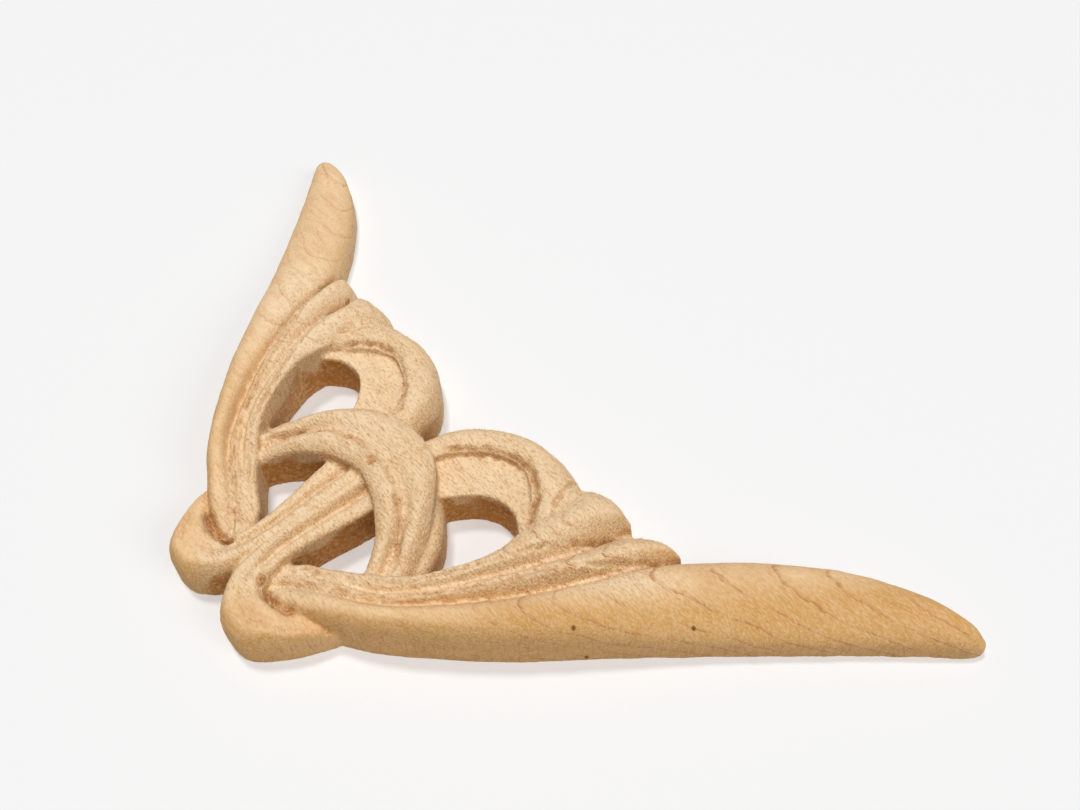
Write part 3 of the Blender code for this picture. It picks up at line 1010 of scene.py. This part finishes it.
def fibre_tree():
    """Geometry nodes that stand short cones on a surface, thickest where its fuzzy attribute is high."""
    tree = bpy.data.node_groups.new("raised_fibres", "GeometryNodeTree")
    sockets = (
        ("Surface", "NodeSocketGeometry"),
        ("Density", "NodeSocketFloat"),
        ("Length", "NodeSocketFloat"),
        ("Radius", "NodeSocketFloat"),
        ("Seed", "NodeSocketInt"),
        ("Grain", "NodeSocketVector"),
        ("Material", "NodeSocketMaterial"),
    )
    for name, kind in sockets:
        tree.interface.new_socket(name, in_out="INPUT", socket_type=kind)
    tree.interface.new_socket("Fibres", in_out="OUTPUT", socket_type="NodeSocketGeometry")
    given = tree.nodes.new("NodeGroupInput").outputs
    fuzzy = tree.nodes.new("GeometryNodeInputNamedAttribute")
    fuzzy.data_type = "FLOAT"
    fuzzy.inputs["Name"].default_value = "fuzzy"
    density = tree.nodes.new("ShaderNodeMath")
    density.operation = "MULTIPLY"
    tree.links.new(given["Density"], density.inputs[0])
    tree.links.new(fuzzy.outputs["Attribute"], density.inputs[1])
    points = tree.nodes.new("GeometryNodeDistributePointsOnFaces")
    tree.links.new(given["Surface"], points.inputs["Mesh"])
    tree.links.new(density.outputs[0], points.inputs["Density"])
    tree.links.new(given["Seed"], points.inputs["Seed"])
    sway = tree.nodes.new("FunctionNodeRandomValue")
    sway.data_type = "FLOAT_VECTOR"
    sway.inputs["Min"].default_value = (-0.8, -0.8, -0.2)
    sway.inputs["Max"].default_value = (0.8, 0.8, 0.5)
    lean = tree.nodes.new("ShaderNodeVectorMath")
    tree.links.new(sway.outputs["Value"], lean.inputs[0])
    tree.links.new(given["Grain"], lean.inputs[1])
    raised = tree.nodes.new("ShaderNodeVectorMath")
    raised.operation = "MULTIPLY_ADD"
    raised.inputs[1].default_value = (0.45, 0.45, 0.45)
    tree.links.new(points.outputs["Normal"], raised.inputs[0])
    tree.links.new(lean.outputs[0], raised.inputs[2])
    turn = tree.nodes.new("FunctionNodeAlignRotationToVector")
    turn.axis = "Z"
    tree.links.new(raised.outputs[0], turn.inputs["Vector"])
    fibre = tree.nodes.new("GeometryNodeMeshCone")
    fibre.fill_type = "NONE"
    fibre.inputs["Vertices"].default_value = 3
    fibre.inputs["Radius Top"].default_value = 0
    tree.links.new(given["Radius"], fibre.inputs["Radius Bottom"])
    tree.links.new(given["Length"], fibre.inputs["Depth"])
    size = tree.nodes.new("FunctionNodeRandomValue")
    size.data_type = "FLOAT"
    size.inputs[2].default_value = 0.35
    size.inputs[3].default_value = 1.3
    stand = tree.nodes.new("GeometryNodeInstanceOnPoints")
    tree.links.new(points.outputs["Points"], stand.inputs["Points"])
    tree.links.new(fibre.outputs["Mesh"], stand.inputs["Instance"])
    tree.links.new(turn.outputs[0], stand.inputs["Rotation"])
    tree.links.new(size.outputs[1], stand.inputs["Scale"])
    realize = tree.nodes.new("GeometryNodeRealizeInstances")
    tree.links.new(stand.outputs["Instances"], realize.inputs["Geometry"])
    paint = tree.nodes.new("GeometryNodeSetMaterial")
    tree.links.new(realize.outputs["Geometry"], paint.inputs["Geometry"])
    tree.links.new(given["Material"], paint.inputs["Material"])
    result = tree.nodes.new("NodeGroupOutput")
    tree.links.new(paint.outputs["Geometry"], result.inputs["Fibres"])
    return tree


def fibre_material(beech):
    """Pale torn wood, a little warmer here and there."""
    material = bpy.data.materials.new("torn_fibre")
    material.use_nodes = True
    tree = material.node_tree
    shader = tree.nodes["Principled BSDF"]
    place = grain_coordinates(tree, beech, (1, 1, 1))
    share = remap(tree, noise_value(tree, place, 900.0, 2.0), 0.40, 0.65)
    colour = colour_mix(tree, share, tuple(beech.raised), tuple(beech.warm), "fibres")
    tree.links.new(colour, shader.inputs["Base Color"])
    shader.inputs["Roughness"].default_value = 0.85
    shader.inputs["Specular IOR Level"].default_value = 0.2
    return material


class APPLIQUE_OT_raise_fibres(bpy.types.Operator):
    """Stands torn fibres in the creases and on the carved straps"""

    bl_idname = "applique.raise_fibres"
    bl_label = "Raise fibres"

    def execute(self, context):
        scene = context.scene
        sizes = scene.applique_fibres
        beech = scene.applique_beech
        fibres = bpy.data.objects.new("raised_fibres", bpy.data.objects["carved_beech"].data.copy())
        scene.collection.objects.link(fibres)
        stand = fibres.modifiers.new("stand", "NODES")
        stand.node_group = fibre_tree()
        grain = (math.cos(beech.grain_angle), math.sin(beech.grain_angle), 0)
        chosen = {
            "Density": sizes.density,
            "Length": sizes.length,
            "Radius": sizes.radius,
            "Seed": sizes.seed,
            "Grain": grain,
            "Material": fibre_material(beech),
        }
        for socket in stand.node_group.interface.items_tree:
            if socket.in_out == "INPUT" and socket.name in chosen:
                stand[socket.identifier] = chosen[socket.name]
        mesh = evaluated_copy(fibres, "raised_fibres")
        fibres.modifiers.remove(stand)
        places = mesh_arrays(mesh)[0]
        mesh.vertices.foreach_set("co", np.clip(places, LOW, HIGH).ravel())
        mesh.update()
        fibres.data = mesh
        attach(fibres, "root")
        return {"FINISHED"}


class APPLIQUE_OT_stage(bpy.types.Operator):
    """Sets the floor, the lights and the camera"""

    bl_idname = "applique.stage"
    bl_label = "Set stage"

    def execute(self, context):
        scene = context.scene
        stage = scene.applique_stage
        bpy.ops.mesh.primitive_plane_add(size=FLOOR_SIZE * LEG_LENGTH, location=(0, 0, 0))
        floor = context.object
        floor.name = "floor"
        paint = bpy.data.materials.new("pale_floor")
        paint.use_nodes = True
        shader = paint.node_tree.nodes["Principled BSDF"]
        shader.inputs["Base Color"].default_value = (*stage.floor_colour, 1)
        shader.inputs["Roughness"].default_value = 0.9
        floor.data.materials.append(paint)
        world = bpy.data.worlds.new("studio")
        world.use_nodes = True
        sky = world.node_tree.nodes["Background"]
        sky.inputs["Color"].default_value = (1.0, 1.0, 1.0, 1)
        ray = world.node_tree.nodes.new("ShaderNodeLightPath")
        seen = world.node_tree.nodes.new("ShaderNodeMapRange")
        seen.inputs["To Min"].default_value = stage.sky_light
        seen.inputs["To Max"].default_value = stage.backdrop
        world.node_tree.links.new(ray.outputs["Is Camera Ray"], seen.inputs["Value"])
        world.node_tree.links.new(seen.outputs["Result"], sky.inputs["Strength"])
        scene.world = world
        scene.view_settings.view_transform = "Standard"
        add_lamp("overhead", OVERHEAD_PLACE, OVERHEAD_WIDTH, stage.overhead_light)
        add_lamp("rear", REAR_PLACE, REAR_WIDTH, stage.rear_light)
        add_lamp("side", SIDE_PLACE, SIDE_WIDTH, stage.side_light)
        add_camera(scene, stage)
        return {"FINISHED"}


def add_lamp(name, place, width, strength):
    """A far, soft light that shines from a place given in leg lengths, with its width as an angle."""
    data = bpy.data.lights.new(name, "SUN")
    data.angle = width
    data.energy = strength
    lamp = bpy.data.objects.new(name, data)
    lamp.location = Vector(place) * LEG_LENGTH
    lamp.rotation_euler = (-lamp.location).to_track_quat("-Z", "Y").to_euler()
    bpy.context.scene.collection.objects.link(lamp)


def add_camera(scene, stage):
    """The camera at the photograph's viewing angle."""
    view = Vector((
        math.sin(stage.yaw) * math.cos(stage.dip),
        math.cos(stage.yaw) * math.cos(stage.dip),
        -math.sin(stage.dip),
    ))
    level = Vector((math.cos(stage.yaw), -math.sin(stage.yaw), 0))
    upward = level.cross(view)
    right = level * math.cos(stage.roll) + upward * math.sin(stage.roll)
    top = upward * math.cos(stage.roll) - level * math.sin(stage.roll)
    data = bpy.data.cameras.new("photo_view")
    data.sensor_width = 36
    data.lens = stage.lens
    data.clip_start = 0.001
    camera = bpy.data.objects.new("photo_view", data)
    turned = Matrix((right, top, -view)).transposed().to_4x4()
    eye = Vector(stage.eye) - Vector((CENTRE_SHARE, CENTRE_SHARE, 0))
    camera.matrix_world = Matrix.Translation(eye * LEG_LENGTH) @ turned
    scene.collection.objects.link(camera)
    scene.camera = camera


class APPLIQUE_PT_panel(bpy.types.Panel):
    """Lists the steps that make the applique"""

    bl_label = "Corner Applique"
    bl_idname = "APPLIQUE_PT_panel"
    bl_space_type = "VIEW_3D"
    bl_region_type = "UI"
    bl_category = "Applique"

    def draw(self, context):
        for settings in SETTINGS:
            box = self.layout.box()
            group = getattr(context.scene, settings)
            for name in group.bl_rna.properties.keys():
                if name not in ("name", "rna_type"):
                    box.prop(group, name)
        for step in STEPS:
            self.layout.operator(step)


SETTINGS = {
    "applique_carving": CarvingSettings,
    "applique_beech": BeechSettings,
    "applique_fibres": FibreSettings,
    "applique_stage": StageSettings,
}
STEPS = ("applique.carve", "applique.raise_fibres", "applique.stage")
CLASSES = (
    *SETTINGS.values(),
    APPLIQUE_OT_carve,
    APPLIQUE_OT_raise_fibres,
    APPLIQUE_OT_stage,
    APPLIQUE_PT_panel,
)


def register():
    for each in CLASSES:
        bpy.utils.register_class(each)
    for name, group in SETTINGS.items():
        setattr(bpy.types.Scene, name, bpy.props.PointerProperty(type=group))


def unregister():
    for name in SETTINGS:
        delattr(bpy.types.Scene, name)
    for each in reversed(CLASSES):
        bpy.utils.unregister_class(each)


def main():
    register()
    bpy.ops.applique.carve()
    bpy.ops.applique.raise_fibres()
    bpy.ops.applique.stage()


if __name__ == "__main__":
    main()
